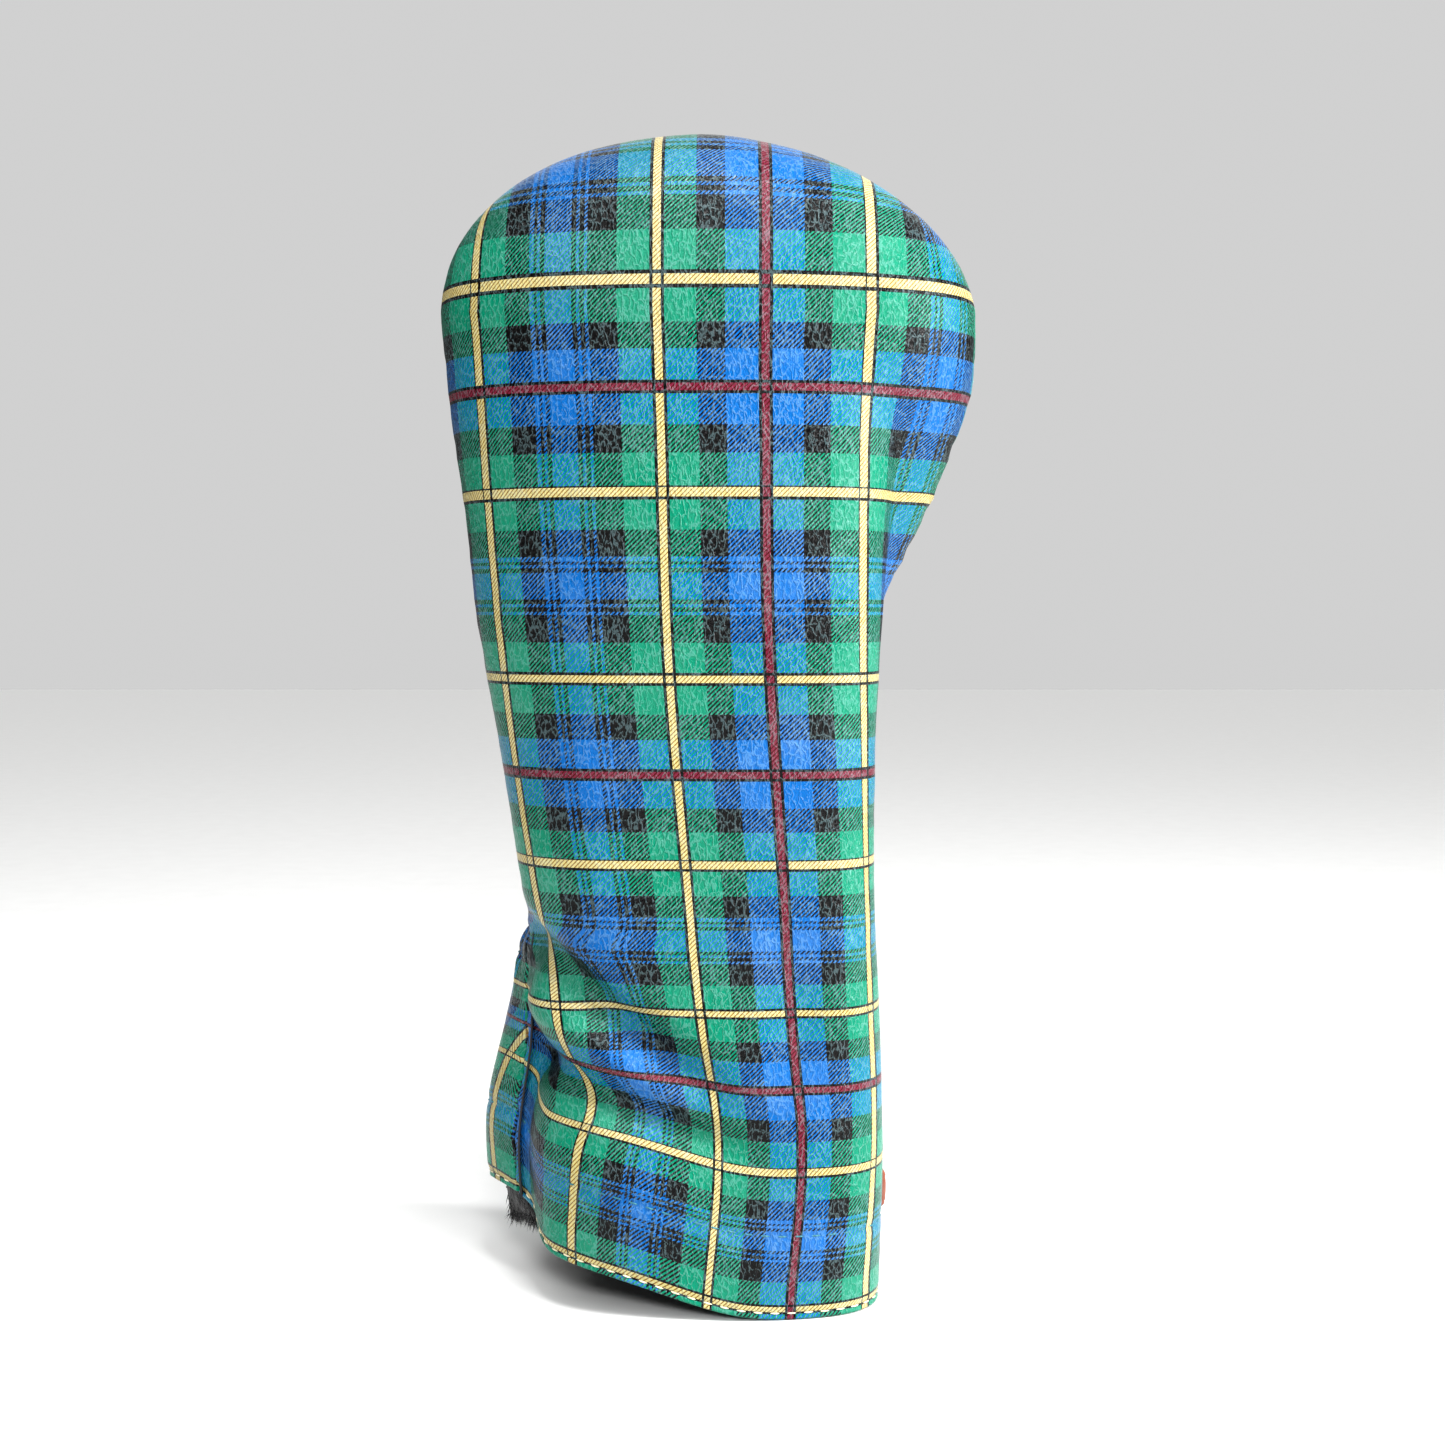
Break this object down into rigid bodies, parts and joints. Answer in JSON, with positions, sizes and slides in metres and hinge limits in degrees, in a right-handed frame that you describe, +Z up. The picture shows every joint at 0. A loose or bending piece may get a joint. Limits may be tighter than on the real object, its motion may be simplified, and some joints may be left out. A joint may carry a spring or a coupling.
{
  "type": "golf driver head cover",
  "caption": "Padded head cover for a golf driver in tartan printed synthetic leather, with a fleece lining and a gathered neck.",
  "frame": {"origin": "middle of the cover's box at hem level, on the surface it stands on", "axes": "+Z up from the hem to the crown, +X to the right seen from the front, the front panel faces -Y"},
  "size_m": [0.15, 0.085, 0.32],
  "materials": {
    "printed_leathercloth": "pebbled, satin, tartan printed",
    "leathercloth_backing": "turned hem",
    "black_fleece": "deep pile",
    "grey_foam": "open cell foam",
    "woven_tape": "plain weave",
    "black_elastic": "ribbed elastic",
    "cream_thread": "bonded thread",
    "tan_leather": "smooth, fine wrinkles"
  },
  "bodies": {
    "root": {"front_panel": "printed_leathercloth", "back_panel": "printed_leathercloth", "front_hem_facing": "leathercloth_backing", "back_hem_facing": "leathercloth_backing", "front_lining": "black_fleece", "back_lining": "black_fleece", "front_padding": "grey_foam", "back_padding": "grey_foam", "seam_tape": "woven_tape", "side_tab": "tan_leather", "front_hem_edge_thread": "cream_thread", "front_hem_top_thread": "cream_thread", "back_hem_edge_thread": "cream_thread", "back_hem_top_thread": "cream_thread", "lower_neck_elastic": "black_elastic", "middle_neck_elastic": "black_elastic", "upper_neck_elastic": "black_elastic", "lower_elastic_thread": "cream_thread", "middle_elastic_thread": "cream_thread", "upper_elastic_thread": "cream_thread"}
  },
  "joints": []
}
